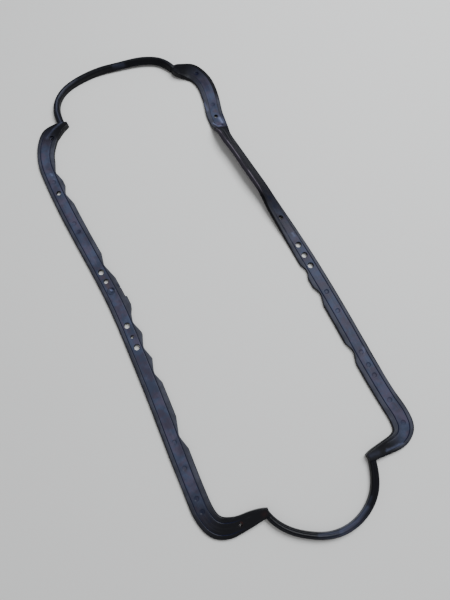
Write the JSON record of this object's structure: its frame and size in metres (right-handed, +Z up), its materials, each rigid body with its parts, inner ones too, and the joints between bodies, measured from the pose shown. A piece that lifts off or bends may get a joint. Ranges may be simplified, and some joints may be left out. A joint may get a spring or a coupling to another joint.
{
  "type": "oil pan gasket",
  "caption": "Moulded black rubber gasket that seals an oil pan: two flat grooved side rails joined by a narrow and a wide ribbed end arch, lying on its face with one rail twisted.",
  "frame": {"origin": "on the surface it lies on, under the middle of its outline", "axes": "+X across the rails towards the rail with the straight row of holes, +Y along the rails towards the wide arch, +Z up, out of the grooved face"},
  "size_m": [0.2418, 0.6076, 0.0157],
  "materials": {
    "rubber": "satin moulded black rubber with a bluish sheen, dusty and scuffed"
  },
  "bodies": {
    "root": {"gasket": "rubber"}
  },
  "joints": []
}
